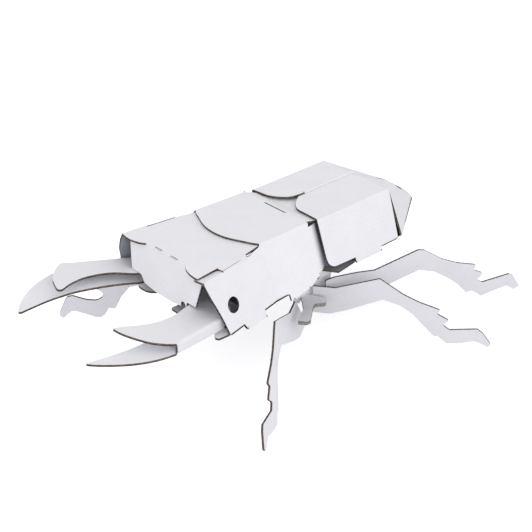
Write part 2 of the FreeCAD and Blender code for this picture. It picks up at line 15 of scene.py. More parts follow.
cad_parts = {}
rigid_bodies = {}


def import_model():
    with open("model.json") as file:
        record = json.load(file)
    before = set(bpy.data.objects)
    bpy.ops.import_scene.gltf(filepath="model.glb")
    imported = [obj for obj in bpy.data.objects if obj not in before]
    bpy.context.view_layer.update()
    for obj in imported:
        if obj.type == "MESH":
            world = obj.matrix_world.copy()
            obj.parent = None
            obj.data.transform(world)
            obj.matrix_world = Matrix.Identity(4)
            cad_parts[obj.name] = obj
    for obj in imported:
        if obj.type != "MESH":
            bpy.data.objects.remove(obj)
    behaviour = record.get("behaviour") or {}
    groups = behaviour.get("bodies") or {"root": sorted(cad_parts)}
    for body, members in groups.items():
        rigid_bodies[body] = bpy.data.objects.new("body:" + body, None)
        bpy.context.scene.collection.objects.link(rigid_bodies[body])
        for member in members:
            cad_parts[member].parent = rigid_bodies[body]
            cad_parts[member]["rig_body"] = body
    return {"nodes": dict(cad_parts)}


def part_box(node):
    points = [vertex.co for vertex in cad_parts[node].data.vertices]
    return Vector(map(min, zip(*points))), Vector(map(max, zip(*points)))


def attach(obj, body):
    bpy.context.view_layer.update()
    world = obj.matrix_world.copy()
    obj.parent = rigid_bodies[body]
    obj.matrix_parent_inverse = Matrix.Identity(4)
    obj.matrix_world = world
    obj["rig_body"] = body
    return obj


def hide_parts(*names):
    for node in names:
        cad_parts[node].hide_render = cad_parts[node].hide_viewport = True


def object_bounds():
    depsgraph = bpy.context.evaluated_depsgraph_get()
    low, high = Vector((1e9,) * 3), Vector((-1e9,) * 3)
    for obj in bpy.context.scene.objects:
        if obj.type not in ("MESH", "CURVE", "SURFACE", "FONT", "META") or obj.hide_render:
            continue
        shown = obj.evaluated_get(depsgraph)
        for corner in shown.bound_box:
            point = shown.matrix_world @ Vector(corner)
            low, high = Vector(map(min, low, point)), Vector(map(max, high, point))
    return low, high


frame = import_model()
cad_box = [list(corner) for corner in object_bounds()]

MM = 0.001
GRID = 0.70 * MM
ORIGIN_Y, ORIGIN_Z = 11.1, 136.0    # where the grid's zero lies, in grid steps
CARD = 1.5 * MM                     # board thickness
LINER = 0.20 * MM                   # one paper liner
MEDIUM = 0.17 * MM                  # the fluted paper
FLUTE_PITCH = 3.2 * MM
RECESS = 0.75 * MM                  # depth of the open channels in a cut edge
RIM, CORE, INNER = 1, 2, 3          # material slots; slot 0 is the outer face
SIDES = (("left", 1), ("right", -1))


# ---------------------------------------------------------------- materials
class Shader:
    """A principled material with short ways to add nodes."""

    def __init__(self, name):
        self.material = bpy.data.materials.new(name)
        self.material.use_nodes = True
        self.tree = self.material.node_tree
        self.tree.nodes.clear()
        output = self.add("OutputMaterial")
        self.surface = self.add("BsdfPrincipled")
        self.feed(output.inputs[0], self.surface.outputs[0])
        self.position = self.add("TexCoord").outputs["Object"]

    def add(self, kind, **settings):
        node = self.tree.nodes.new("ShaderNode" + kind)
        for key, value in settings.items():
            setattr(node, key, value)
        return node

    def feed(self, socket, value):
        """Link an output socket, or set a plain value."""
        if hasattr(value, "is_linked"):
            self.tree.links.new(value, socket)
        else:
            socket.default_value = value

    def put(self, name, value):
        self.feed(self.surface.inputs[name], value)

    def attribute(self, name):
        return self.add("Attribute", attribute_name=name).outputs["Fac"]

    def calc(self, operation, *values, clamp=False):
        node = self.add("Math", operation=operation, use_clamp=clamp)
        for socket, value in zip(node.inputs, values):
            self.feed(socket, value)
        return node.outputs[0]

    def weighted(self, *terms, clamp=False):
        """Sum of (value, weight) terms; clamp applies to the last addition."""
        total = self.calc("MULTIPLY", *terms[0])
        for term in terms[1:]:
            part = self.calc("MULTIPLY", *term)
            total = self.calc("ADD", total, part, clamp=clamp and term is terms[-1])
        return total

    def mix(self, factor, first, second):
        node = self.add("Mix", data_type="RGBA")
        # sockets 0, 6 and 7 are the factor and the two colours; output 2 is the colour
        for index, value in ((0, factor), (6, first), (7, second)):
            self.feed(node.inputs[index], value)
        return node.outputs[2]

    def noise(self, scale, detail=2.0, roughness=0.5, distortion=0.0, vector=None):
        node = self.add("TexNoise")
        node.inputs["Scale"].default_value = scale
        node.inputs["Detail"].default_value = detail
        node.inputs["Roughness"].default_value = roughness
        node.inputs["Distortion"].default_value = distortion
        self.feed(node.inputs["Vector"], self.position if vector is None else vector)
        return node.outputs["Fac"]

    def ramp(self, value, low, high):
        """Map low..high to 0..1."""
        node = self.add("MapRange")
        for socket, setting in zip(node.inputs, (value, low, high, 0.0, 1.0)):
            self.feed(socket, setting)
        return node.outputs[0]

    def bump(self, height, strength, distance):
        node = self.add("Bump")
        node.inputs["Strength"].default_value = strength
        node.inputs["Distance"].default_value = distance
        self.feed(node.inputs["Height"], height)
        self.put("Normal", node.outputs[0])


def liner_material(name, low, high, specular=0.32, sheen=0.06):
    """Matt board face with fibre mottling and faint ridges over the flutes."""
    shader = Shader(name)
    calc, noise, ramp = shader.calc, shader.noise, shader.ramp
    flute = shader.attribute("flute")
    cloud = noise(scale=55.0, detail=3.0, roughness=0.55)
    mottle = noise(scale=420.0, detail=4.0, roughness=0.6)
    stretch = shader.add("Mapping")
    stretch.inputs["Scale"].default_value = (0.35, 1.0, 1.0)
    shader.feed(stretch.inputs[0], shader.position)
    fibre = noise(scale=2600.0, detail=3.0, roughness=0.65, distortion=0.6,
                  vector=stretch.outputs[0])
    # one ridge per flute, wandering a little, and fading in and out over the sheet
    wander = calc("MULTIPLY", calc("SUBTRACT", cloud, 0.5), 0.35)
    wave = calc("COSINE", calc("ADD", calc("MULTIPLY", flute, math.tau), wander))
    ridge = calc("MULTIPLY_ADD", wave, 0.5, 0.5)
    fade = ramp(noise(scale=18.0), low=0.35, high=0.7)
    # tone: 0.45 cloud, 0.40 mottle, 0.22 ridge
    tone = calc("MULTIPLY_ADD", ramp(cloud, low=0.3, high=0.7), 0.45, 0.0)
    tone = calc("ADD", tone, calc("MULTIPLY", ramp(mottle, low=0.3, high=0.7), 0.40))
    ridge_tone = calc("MULTIPLY", calc("MULTIPLY", ridge, fade), 0.22)
    tone = calc("ADD", tone, ridge_tone, clamp=True)
    colour = shader.mix(tone, low, high)
    # painted shade: the 'shade' attribute darkens the colour towards blue-grey
    colour = shader.mix(shader.attribute("shade"), colour, (0.13, 0.14, 0.16, 1))
    speck = calc("MULTIPLY", ramp(fibre, low=0.70, high=0.78), 0.10)
    shader.put("Base Color", shader.mix(speck, colour, (0.60, 0.56, 0.52, 1)))
    shader.put("Roughness", calc("MULTIPLY_ADD", mottle, 0.16, 0.50))
    shader.put("Specular IOR Level", specular)
    shader.put("Sheen Weight", sheen)
    height = shader.weighted((calc("MULTIPLY", ridge, fade), 0.55), (mottle, 0.35),
                             (fibre, 0.18), (noise(scale=24.0), 1.2))
    shader.bump(height, strength=0.55, distance=0.00009)
    return shader.material


def kraft_material(name, dark, light, scale):
    """Bare paper, for cut rims and the fluted core."""
    shader = Shader(name)
    coarse = shader.noise(scale=scale, detail=4.0, roughness=0.6)
    fine = shader.noise(scale=scale * 5.5, detail=3.0, roughness=0.6)
    coarse_tone = shader.ramp(coarse, low=0.32, high=0.68)
    fine_tone = shader.ramp(fine, low=0.3, high=0.7)
    tone = shader.weighted((coarse_tone, 0.7), (fine_tone, 0.3), clamp=True)
    shader.put("Base Color", shader.mix(tone, dark, light))
    shader.put("Roughness", shader.calc("MULTIPLY_ADD", fine, 0.2, 0.75))
    shader.put("Specular IOR Level", 0.2)
    height = shader.weighted((fine, 0.6), (coarse, 0.4))
    shader.bump(height, strength=0.6, distance=0.00006)
    return shader.material


WHITE = liner_material("white_liner", (0.765, 0.763, 0.795, 1), (0.835, 0.833, 0.862, 1))
# painted shade: a grey-blue copy of the white liner for inside faces and inside walls,
# standing in for the shade inside the body
INNER_PAINTED_SHADE = liner_material("inner_painted_shade_liner", (0.29, 0.31, 0.345, 1), (0.37, 0.39, 0.43, 1))
# painted shade: a darker copy of the white liner for the legs under the body
LEG_PAINTED_SHADE = liner_material("white_liner_b", (0.700, 0.698, 0.732, 1), (0.768, 0.766, 0.796, 1))
# painted shade: a near-black liner for the head's rear wall and the sheet inside the tail,
# standing in for the dark interior
DARK_PAINTED_SHADE = liner_material("dark_painted_shade_liner", (0.016, 0.018, 0.021, 1), (0.030, 0.033, 0.038, 1),
                      specular=0.03, sheen=0.0)
# near-black cut rims of the liners, also used for the painted shade strips
NEAR_BLACK_RIM = kraft_material("near_black_rim", (0.012, 0.010, 0.010, 1),
                          (0.075, 0.052, 0.042, 1), scale=700.0)
FLUTED = kraft_material("fluted_core", (0.080, 0.060, 0.048, 1),
                        (0.460, 0.350, 0.260, 1), scale=500.0)
CLEAN_CORE = kraft_material("clean_cut_core", (0.34, 0.31, 0.28, 1),
                            (0.66, 0.63, 0.58, 1), scale=420.0)
CLEAN_RIM = kraft_material("clean_cut_liner", (0.16, 0.13, 0.11, 1),
                           (0.40, 0.35, 0.30, 1), scale=600.0)
ROLLED = kraft_material("rolled_paper", (0.36, 0.26, 0.17, 1),
                        (0.60, 0.47, 0.33, 1), scale=300.0)


# ---------------------------------------------------------------- outlines
def at(x, y, z):
    """Grid point to metres."""
    return Vector((x * GRID, (y + ORIGIN_Y) * GRID, (z + ORIGIN_Z) * GRID))


def place(points, side=1):
    """Grid points to metres; side -1 mirrors them to the right."""
    return [at(x * side, y, z) for x, y, z in points]


def level(points, z):
    return [(x, y, z) for x, y in points]


def rectangle(x0, x1, y0, y1, z):
    return place([(x0, y0, z), (x1, y0, z), (x1, y1, z), (x0, y1, z)])


def smooth(points, steps):
    """Catmull-Rom line through the points, with so many steps per span."""
    ends = [points[0]] + list(points) + [points[-1]]
    line = []
    for span in zip(ends, ends[1:], ends[2:], ends[3:]):
        for k in range(steps):
            t = k / float(steps)
            line.append(tuple(
                0.5 * (2 * b + (c - a) * t + (2 * a - 5 * b + 4 * c - d) * t * t
                       + (3 * b - a - 3 * c + d) * t ** 3)
                for a, b, c, d in zip(*span)))
    return line + [tuple(points[-1])]


def rounded(loop, radius, steps=3, sharpest_kept=25):
    """Soften the corners of a closed outline that turn more than sharpest_kept degrees."""
    result = []
    for i, corner in enumerate(loop):
        back = loop[i - 1] - corner
        ahead = loop[(i + 1) % len(loop)] - corner
        if back.length < 1e-7 or ahead.length < 1e-7:
            continue
        turn = math.pi - back.angle(ahead)
        cut = min(radius * math.tan(turn / 2), 0.42 * back.length, 0.42 * ahead.length)
        if math.degrees(turn) < sharpest_kept or cut < 0.05 * MM:
            result.append(corner.copy())
            continue
        start = corner + back * (cut / back.length)
        end = corner + ahead * (cut / ahead.length)
        for k in range(steps + 1):
            t = k / float(steps)
            result.append(start * (1 - t) ** 2 + corner * (2 * t * (1 - t)) + end * t ** 2)
    return result


def ring(centre, normal, radius, segments):
    """Circle of points square to the normal."""
    normal = Vector(normal).normalized()
    first = normal.orthogonal().normalized()
    second = normal.cross(first)
    angles = [math.tau * k / segments for k in range(segments)]
    return [centre + first * (radius * math.cos(angle)) + second * (radius * math.sin(angle))
            for angle in angles]


def outline_of(node):
    """Outline and outward normal of a flat node's largest face."""
    geo = bmesh.new()
    geo.from_mesh(frame["nodes"][node].data)
    bmesh.ops.remove_doubles(geo, verts=geo.verts, dist=3e-6)
    bmesh.ops.dissolve_limit(geo, angle_limit=math.radians(0.7), verts=geo.verts,
                             edges=geo.edges)
    bmesh.ops.recalc_face_normals(geo, faces=geo.faces)
    face = max(geo.faces, key=lambda item: item.calc_area())
    loop, normal = [vert.co.copy() for vert in face.verts], face.normal.copy()
    geo.free()
    return loop, normal


# ---------------------------------------------------------------- board builder
def new_object(name, data):
    thing = bpy.data.objects.new(name, data)
    bpy.context.scene.collection.objects.link(thing)
    return thing


def register(thing, node):
    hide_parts(node)
    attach(thing, frame["nodes"][node]["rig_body"])


def bar(geo, sections):
    """Closed four-sided bar through a list of four-point sections."""
    rows = [[geo.verts.new(point) for point in section] for section in sections]
    faces = []
    for row, after in zip(rows[:-1], rows[1:]):
        for j in range(4):
            k = (j + 1) % 4
            faces.append(geo.faces.new((row[j], row[k], after[k], after[j])))
    faces.append(geo.faces.new(rows[0][::-1]))
    faces.append(geo.faces.new(rows[-1]))
    return faces


def across_flutes(normal, along):
    """Direction in the board, square to the flutes (not normalised)."""
    return normal.cross(along - normal * along.dot(normal))


def add_ribbon(geo, start, end, up_start, up_end, outward, along):
    """Fluted paper behind one stretch of cut edge; start and end lie mid-board."""
    edge = end - start
    length = edge.length
    if length < 0.04 * MM:
        return
    edge.normalize()
    across = across_flutes((up_start + up_end).normalized(), along)
    if across.length < 1e-4:
        across = edge.copy()
    across.normalize()
    crossing = max(abs(edge.dot(across)), 0.08)
    steps = max(1, int(math.ceil(length * crossing / (FLUTE_PITCH / 8.0))))
    swing = (CARD - 2 * LINER - MEDIUM) / 2
    half = MEDIUM / 2
    sections = []
    for i in range(steps + 1):
        point = start.lerp(end, i / steps)
        up = up_start.lerp(up_end, i / steps).normalized()
        wave = swing * math.sin(point.dot(across) / FLUTE_PITCH * math.tau)
        front, back = point - outward * (0.04 * MM), point - outward * (RECESS + 0.05 * MM)
        sections.append((front + up * (wave + half), front + up * (wave - half),
                         back + up * (wave - half), back + up * (wave + half)))
    for face in bar(geo, sections):
        face.material_index = CORE
        face.smooth = True


def add_shade_line(geo, points, normal, width):
    """Thin near-black strip lying on the surface along a cut line: painted shade of the slit.
    """
    above, below = normal * (0.05 * MM), normal * (-0.25 * MM)
    sections = []
    for i, point in enumerate(points):
        ahead = points[min(i + 1, len(points) - 1)]
        run = (ahead - points[max(i - 1, 0)]).normalized()
        half = run.cross(normal).normalized() * (width / 2)
        sections.append((point - half + above, point + half + above,
                         point + half + below, point - half + below))
    faces = bar(geo, sections)
    bmesh.ops.recalc_face_normals(geo, faces=faces)
    for face in faces:
        face.material_index = RIM


def fold_panels(panels, fold, segments, min_fold):
    """Zero-thickness sheet: panels welded at shared points, bends rounded."""
    geo = bmesh.new()
    welded = {}
    nearby = (0, 1, -1)

    def vert(point):
        key = tuple(int(round(value / 2e-5)) for value in point)
        for dx in nearby:
            for dy in nearby:
                for dz in nearby:
                    found = welded.get((key[0] + dx, key[1] + dy, key[2] + dz))
                    if found is not None:
                        return found
        welded[key] = geo.verts.new(point)
        return welded[key]

    def loop_edges(verts):
        return [geo.edges.get(pair) or geo.edges.new(pair)
                for pair in zip(verts, verts[1:] + verts[:1]) if pair[0] is not pair[1]]

    for loop, inward, *rest in panels:
        normal = Vector((0, 0, 0))
        centre = sum(loop, Vector((0, 0, 0))) / len(loop)
        for start, end in zip(loop, loop[1:] + loop[:1]):
            normal += (start - centre).cross(end - centre)
        normal.normalize()
        if normal.dot(Vector(inward)) > 0:
            normal = -normal
        verts = []
        for point in loop:
            found = vert(point)
            if not verts or found is not verts[-1]:
                verts.append(found)
        if verts[0] is verts[-1]:
            verts.pop()
        if rest:
            edges = loop_edges(verts)
            for hole in rest[0]:
                edges += loop_edges([vert(point) for point in hole])
            made = bmesh.ops.triangle_fill(geo, use_beauty=True, normal=normal,
                                           edges=list(dict.fromkeys(edges)))
            faces = [item for item in made["geom"] if isinstance(item, bmesh.types.BMFace)]
        else:
            faces = [geo.faces.new(verts)]
        for face in faces:
            face.normal_update()
            if face.normal.dot(normal) < 0:
                face.normal_flip()
    geo.normal_update()
    bends = [edge for edge in geo.edges if len(edge.link_faces) == 2
             and edge.calc_face_angle(0) > math.radians(min_fold)]
    if bends and fold > 0:
        bmesh.ops.bevel(geo, geom=bends, offset=fold * MM, offset_type="OFFSET",
                        segments=segments, profile=0.5, affect="EDGES",
                        clamp_overlap=False, loop_slide=True, material=0)
    return geo


def thicken(geo, materials):
    """Give the folded sheet its board thickness, inwards; frees geo."""
    flat_mesh = bpy.data.meshes.new("tmp")
    geo.to_mesh(flat_mesh)
    geo.free()
    for material in materials:
        flat_mesh.materials.append(material)
    carrier = new_object("tmp", flat_mesh)
    board = carrier.modifiers.new("board", "SOLIDIFY")
    board.thickness = CARD
    board.offset = -1.0
    board.use_even_offset = True
    board.use_rim = True
    board.material_offset_rim = RIM
    if len(materials) > INNER:
        board.material_offset = INNER
    bpy.context.view_layer.update()
    graph = bpy.context.evaluated_depsgraph_get()
    mesh = bpy.data.meshes.new_from_object(carrier.evaluated_get(graph))
    bpy.data.objects.remove(carrier)
    return mesh


def open_edges(geo, along):
    """Sink the cut edges between the liners and fill them with fluted paper."""
    rims = [face for face in geo.faces if face.material_index == RIM]
    stretches = []
    for face in rims:
        longs = [edge for edge in face.edges
                 if any(other.material_index != RIM for other in edge.link_faces)]
        if len(face.verts) != 4 or len(longs) != 2:
            continue
        (start0, end0), (start1, end1) = [[vert.co for vert in edge.verts] for edge in longs]
        if (end0 - start0).dot(end1 - start1) < 0:
            start1, end1 = end1, start1
        up_start, up_end = start0 - start1, end0 - end1
        if up_start.length < 1e-6 or up_end.length < 1e-6:
            continue
        stretches.append(((start0 + start1) / 2, (end0 + end1) / 2, up_start.normalized(),
                          up_end.normalized(), face.normal.copy()))
    if rims:
        for thickness, depth in ((LINER, 0.0), (0.012 * MM, -RECESS)):
            rims = [face for face in rims if face.is_valid]
            bmesh.ops.inset_region(geo, faces=rims, thickness=thickness, depth=depth,
                                   use_boundary=True, use_even_offset=False)
        for face in rims:
            if face.is_valid:
                face.material_index = CORE
    for face in geo.faces:
        face.smooth = True
    for stretch in stretches:
        add_ribbon(geo, *stretch, along)


def write_flute(geo, along):
    """Attribute counting flutes across each face."""
    layer = geo.loops.layers.float.new("flute")
    for face in geo.faces:
        across = across_flutes(face.normal, along)
        if across.length < 1e-4:
            continue
        across.normalize()
        if max(across, key=abs) < 0:
            across = -across
        for corner in face.loops:
            corner[layer] = corner.vert.co.dot(across) / FLUTE_PITCH


def write_shade(geo, shade):
    layer = geo.loops.layers.float.new("shade")
    for face in geo.faces:
        for corner in face.loops:
            corner[layer] = shade(corner.vert.co)


def sheet(node, panels, along, fold=0, segments=4, min_fold=7.0, name=None, marks=(),
          outer=WHITE, inner=None, rim=NEAR_BLACK_RIM, core=FLUTED, shade=None):
    """One folded sheet.

    panels: (outline in metres, direction into the body, optional list of holes);
    panels with shared points are joined, and bends over min_fold degrees rounded.
    along: flute direction.  fold: bevel offset in mm.
    marks: (line, normal, width in mm) of the painted shade strips.
    """
    along = Vector(along).normalized()
    materials = (outer, rim, core) + ((inner,) if inner else ())
    mesh = thicken(fold_panels(panels, fold, segments, min_fold), materials)
    geo = bmesh.new()
    geo.from_mesh(mesh)
    geo.normal_update()
    open_edges(geo, along)
    for points, normal, width in marks:
        add_shade_line(geo, points, Vector(normal).normalized(), width * MM)
    geo.normal_update()
    write_flute(geo, along)
    if shade:
        write_shade(geo, shade)
    geo.to_mesh(mesh)
    geo.free()
    mesh.name = (name or node) + "_card"
    mesh.set_sharp_from_angle(angle=math.radians(38))
    card = new_object((name or node) + "_card", mesh)
    weighted = card.modifiers.new("weighted", "WEIGHTED_NORMAL")
    weighted.keep_sharp = True
    weighted.weight = 80
    register(card, node)


def flat(node, along, radius, **options):
    """Flat die-cut piece with its corners rounded by so many mm."""
    loop, normal = outline_of(node)
    sheet(node, [(rounded(loop, radius * MM), -normal)], along, **options)


def rolled_pin(node, turns=5.0, bore=0.45 * MM, paper=0.20 * MM, gap=0.02 * MM, steps=150):
    """Pin of tightly rolled paper, its spiral showing at both ends."""
    low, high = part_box(node)
    centre = Vector(((low.x + high.x) / 2, (low.y + high.y) / 2, 0))
    outside = (high.x - low.x) / 2
    sections = []
    for i in range(steps + 1):
        angle = math.tau * turns * i / steps
        radius = bore + (outside - gap - bore) * i / steps
        ray = Vector((math.cos(angle), math.sin(angle), 0))
        uneven = abs(0.10 * MM * math.sin(angle * 0.37))
        bottom = Vector((0, 0, low.z + gap))
        top = Vector((0, 0, high.z - gap - uneven))
        outer, inner = centre + ray * radius, centre + ray * (radius - paper)
        sections.append((outer + bottom, outer + top, inner + top, inner + bottom))
    geo = bmesh.new()
    bar(geo, sections)
    bmesh.ops.recalc_face_normals(geo, faces=geo.faces)
    for face in geo.faces:
        face.smooth = True
    mesh = bpy.data.meshes.new(node + "_roll")
    geo.to_mesh(mesh)
    geo.free()
    mesh.materials.append(ROLLED)
    mesh.set_sharp_from_angle(angle=math.radians(40))
    register(new_object(node + "_roll", mesh), node)


# ---------------------------------------------------------------- thorax
# points are (x, y, z) on the left side, in grid steps
CHEEK_Y, CHEEK_Z = 0.212, 0.381     # how the cheek plane narrows with y and z


def cheek(y, z):
    return (33.53 - CHEEK_Y * y - CHEEK_Z * z, y, z)


ROOF_REAR, ROOF_FRONT = (46.4, 0, 0), (47.1, -64, 1.0)
# fold between side wall and cheek, from the roof down
CREASE = smooth([ROOF_FRONT, (54.7, -61.0, -22.0), (58.6, -58.6, -32.5),
                 (61.8, -57.6, -41.1), (64.6, -57.5, -48.3), (66.9, -57.6, -54.8)], 2)
ROOF_BOW = [ROOF_FRONT, (41, -68, 1.06), (33, -71.5, 1.1), (22, -76.5, 1.17), (12, -79.6, 1.2)]
ROOF_EDGE = smooth(ROOF_BOW + [(0, -80.8, 1.2)]
                   + [(-x, y, z) for x, y, z in ROOF_BOW[::-1]], 4)
# side wall's lower edge, front to rear
FOOT_FRONT, FOOT_REAR = (69.6, -37.8, -62.0), (68.3, -16.0, -58.6)
SIDE_FOOT = [(67.0, -42.5, -54.9), (69.5, -42.1, -61.6), FOOT_FRONT, FOOT_REAR]
REAR_CORNER = (44.2, 0, 0)
# rear flap under the wing cases: left edge, front to rear
REAR_FLAP = [REAR_CORNER, (43.4, 6, -1.7), (41.6, 14.4, -4.75), (38.0, 39, -5.6)]
# side flap: (upper, lower) points, front to rear
SIDE_FLAP = [((47.9, 0, -4.0), (64.75, 0, -48.9)), ((47.4, 4.0, -4.1), (63.8, 4.0, -48.7)),
             ((46.1, 8.0, -4.5), (61.9, 8.0, -48.4)),
             ((43.8, 12.4, -5.6), (59.0, 12.4, -47.9)),
             ((41.2, 17.0, -7.4), (55.8, 17.0, -47.4))]
CHEEK_TOP = [cheek(-119.5, -2.0), cheek(-84.5, -2.8)]
CHEEK_TAB = [cheek(-107.2, -60.7), cheek(-79.0, -61.6)]
CHEEK_TOE = cheek(-131.0, -54.7)
# front edge of each cheek, top to bottom, and the front inner corner of its top tab
CHEEK_FRONTS = {
    1: ([(65.0, -147.6, -0.7), cheek(-143.6, -14.5), cheek(-138.6, -28.0),
         cheek(-134.4, -41.0), CHEEK_TOE], (49.5, -146.2, -3.9)),
    -1: ([(64.9, -140.6, -4.0), (67.2, -141.7, -9.4), (69.6, -141.7, -15.8),
          (72.6, -140.7, -24.4), (75.6, -137.8, -33.7), cheek(-135.2, -44.0), CHEEK_TOE],
         (54.5, -138.6, -4.2)),
}


def under_wing_painted_shade(point):
    """Painted shade: darkening of the side flaps as they run in under the wing cases."""
    x, y, z = abs(point.x) / GRID, point.y / GRID - ORIGIN_Y, point.z / GRID - ORIGIN_Z
    on_flap = x > 44.6 - 0.17 * y if y < 15.0 else z < -6.0
    t = min(1.0, max(0.0, (y - 1.0) / 13.0)) if on_flap and z < -3.0 else 0.0
    return 0.93 * t * t * (3 - 2 * t)


def thorax_side(side):
    """Panels and painted shade marks of one side of the thorax."""
    edge, tab_corner = CHEEK_FRONTS[side]
    inward = (-side, 0, -0.3)
    cheek_normal = (side, CHEEK_Y, CHEEK_Z)
    eye_x, eye_y, eye_z = cheek(-118.0, -32.5)
    eye = ring(at(eye_x * side, eye_y, eye_z), cheek_normal, 5.4 * MM, 40)
    wall = ([ROOF_REAR] + CREASE[:-1] + [(66.9, -57.6, -54.8)] + SIDE_FOOT
            + [(65.4, 0.0, -50.6), SIDE_FLAP[0][1], SIDE_FLAP[0][0]])
    cheek_loop = (smooth(edge, 3) + [cheek(-110.2, -54.7)] + CHEEK_TAB
                  + [cheek(-78.5, -55.2)] + CREASE[::-1]
                  + [cheek(-66.4, -1.7)] + CHEEK_TOP[::-1])
    top_tab = [edge[0]] + CHEEK_TOP + [(50.9, -84.5, -3.4), (52.5, -119.5, -3.5), tab_corner]
    wall_tab = [FOOT_FRONT, FOOT_REAR, (56.5, -18.5, -59.6), (57.5, -36.0, -62.4)]
    front, rear = CHEEK_TAB
    cheek_tab = [front, rear, (rear[0] - 12, -82.0, -61.8), (front[0] - 12, -104.5, -60.9)]
    panels = [(place(wall, side), inward),
              (place(cheek_loop, side), inward, [eye]),
              (place(top_tab, side), (0, 0, -1)),
              (place(wall_tab, side), (0, 0, 1)),
              (place(cheek_tab, side), (0, 0, 1))]
    for (upper, lower), (next_upper, next_lower) in zip(SIDE_FLAP[:-1], SIDE_FLAP[1:]):
        panels.append((place([upper, lower, next_lower, next_upper], side),
                       (-side, -0.6, -0.2)))
    # near-black strips of painted shade along the cheek's lower edge and the wall's foot
    cheek_mark = [cheek(-130.6, -54.2), cheek(-110.5, -54.3), cheek(-108.3, -59.2)]
    foot_mark = [cheek(-79.0, -54.9), (67.9, -61.0, -54.6), (66.7, -43.0, -54.5),
                 (68.9, -42.4, -60.4)]
    marks = [(place(cheek_mark, side), cheek_normal, 1.0),
             (place(foot_mark, side), (side, 0.1, 0.375), 0.95)]
    return panels, marks


def thorax():
    rear_edge = [(-46.4, 0, 0), (-44.2, 0, 0), REAR_CORNER, ROOF_REAR]
    slot = rectangle(-13.8, 16.8, -2.1, -0.7, 0.016)
    panels = [(place(rear_edge + ROOF_EDGE), (0, 0, -1), [slot])]
    for near, far in zip(REAR_FLAP[:-1], REAR_FLAP[1:]):
        strip = place([near], -1) + place([near, far]) + place([far], -1)
        panels.append((strip, (0, -0.3, -1)))
    marks = []
    for _, side in SIDES:
        side_panels, side_marks = thorax_side(side)
        panels += side_panels
        marks += side_marks
    sheet("thorax_shell", panels, (0, 1, 0), fold=0.55, segments=4, inner=INNER_PAINTED_SHADE,
          marks=marks, shade=under_wing_painted_shade)


# ---------------------------------------------------------------- head cover
HEAD_Z, FACE_Y = -1.15, -138.6
FACE_CORNER = (28.5, FACE_Y)
# top's front edge outside the face fold, then its side edge to the rear: (x, y)
LEFT_FRONT = [FACE_CORNER, (32.5, -141.3), (38.0, -143.9), (45.5, -145.6), (54.6, -145.9)]
LEFT_SIDE = [(51.9, -120.4), (50.2, -84.6), (46.4, -65.2)]
RIGHT_FRONT = [(-28.5, FACE_Y), (-32.2, -141.1), (-37.4, -143.6), (-46.2, -145.5),
               (-52.5, -145.4), (-59.3, -144.4)]
RIGHT_SIDE = [(-57.4, -130.0), (-56.3, -119.4), (-52.0, -84.9), (-46.4, -65.2)]
# face outline below its fold, from right to left: (x, z)
FACE = [(-34.5, -2.6), (-41, -4.5), (-53.5, -9.0), (-48.0, -34.6), (-33.5, -35.0),
        (-27.0, -41.6), (-12.0, -43.6), (12.0, -43.6), (27.9, -41.9), (27.9, -37.4),
        (31.2, -36.4), (33.9, -37.9), (34.1, -39.9), (35.6, -39.4), (36.0, -35.2),
        (48.0, -34.8), (53.5, -9.0), (41, -4.5), (34.5, -2.6)]


def head_cover():
    left = smooth(level(LEFT_FRONT, HEAD_Z), 4) + level(LEFT_SIDE, HEAD_Z)
    right = smooth(level(RIGHT_FRONT, HEAD_Z), 4) + level(RIGHT_SIDE, HEAD_Z)
    face = level([FACE_CORNER, RIGHT_FRONT[0]], HEAD_Z)
    face += [(x, FACE_Y + 0.157 * z, z) for x, z in FACE]
    slots = [rectangle(-17.9, -7.2, -137.6, -136.6, HEAD_Z),
             rectangle(5.4, 15.9, -137.6, -136.6, HEAD_Z)]
    # tab on the left edge, and the strip turned down from it
    tab_front, tab_rear = level(LEFT_SIDE[:2], HEAD_Z)
    bend_front, bend_rear = (59.6, -119.8, -1.5), (53.9, -85.6, -2.0)
    turned = [bend_front, bend_rear, (53.4, -87.0, -6.5), (59.0, -119.0, -6.5)]
    panels = [(place(left + right[::-1]), (0, 0, -1), slots),
              (place(face), (0, 1, 0)),
              (place([tab_front, bend_front, bend_rear, tab_rear]), (0, 0, -1)),
              (place(turned), (-1, 0, -0.4))]
    # near-black strips of painted shade along the right side and along the left bend
    marks = [(place([(-55.4, -118.2, HEAD_Z), (-51.7, -86.6, HEAD_Z)]), (0, 0, 1), 0.8),
             (place([(58.7, -118.6, -1.47), (53.1, -86.2, -1.93)]), (0.1, 0, 1), 0.3)]
    sheet("head_cover", panels, (1, 0, 0), fold=0.45, segments=3, inner=INNER_PAINTED_SHADE, marks=marks)


# ---------------------------------------------------------------- mandibles
# outlines are (x, y) as on the left; heights come from the planes below
OUTER_FOLD = [(71.0, -130.0), (73.3, -138.6), (75.6, -148.0), (78.3, -158.3),
              (81.4, -170.1), (84.0, -180.1), (86.6, -189.9), (88.3, -197.3)]
FOLD_START, FOLD_END = OUTER_FOLD[0], OUTER_FOLD[-1]
ROOT = [(38.2, -130.0), (39.0, -124.0), (42.0, -118.0), (48.0, -112.0), (60.0, -112.0),
        (66.5, -119.0), FOLD_START]
